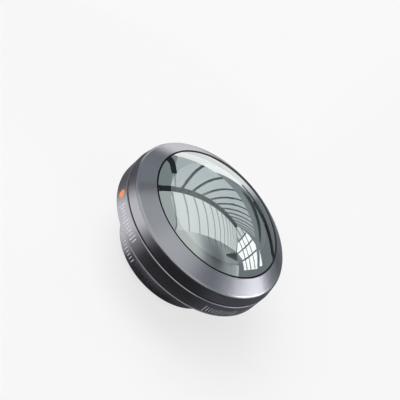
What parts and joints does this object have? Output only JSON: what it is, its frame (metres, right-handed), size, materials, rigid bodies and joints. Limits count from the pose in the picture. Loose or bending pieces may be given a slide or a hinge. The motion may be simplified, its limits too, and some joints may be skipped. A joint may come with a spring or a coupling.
{
  "type": "phone fisheye lens",
  "caption": "Round fisheye conversion lens for a phone: domed front glass in a sloping metal bezel, stepped body and a rear bayonet collar.",
  "frame": {"origin": "centre of the rear face of the bayonet collar, on which the lens stands", "axes": "+Z along the optical axis, out of the domed front glass; +X through the alignment dot on the housing wall"},
  "size_m": [0.0382, 0.0382, 0.0232],
  "materials": {
    "gunmetal_anodised": "bead blasted and anodised gunmetal, satin",
    "dark_anodised": "anodised black, matte",
    "front_glass": "polished, coated",
    "inner_glass": "polished, coated",
    "nitrile_rubber": "moulded, matte",
    "gasket_film": "black film",
    "brass_shim": "rolled",
    "stainless_steel": "turned",
    "orange_enamel": "filled enamel, satin"
  },
  "bodies": {
    "root": {"front_bezel": "gunmetal_anodised", "main_housing": "gunmetal_anodised", "rear_barrel": "gunmetal_anodised", "bayonet_collar": "dark_anodised", "lens_cell": "dark_anodised", "second_retaining_ring": "dark_anodised", "rear_retaining_ring": "dark_anodised", "front_spacer": "dark_anodised", "rear_spacer": "dark_anodised", "aperture_stop": "dark_anodised", "collar_screws": "stainless_steel", "alignment_dot": "orange_enamel", "front_element": "front_glass", "second_element": "inner_glass", "third_element": "inner_glass", "doublet_front_element": "inner_glass", "doublet_rear_element": "inner_glass", "front_seal": "nitrile_rubber", "lip_gasket": "gasket_film", "focus_shim": "brass_shim"}
  },
  "joints": []
}
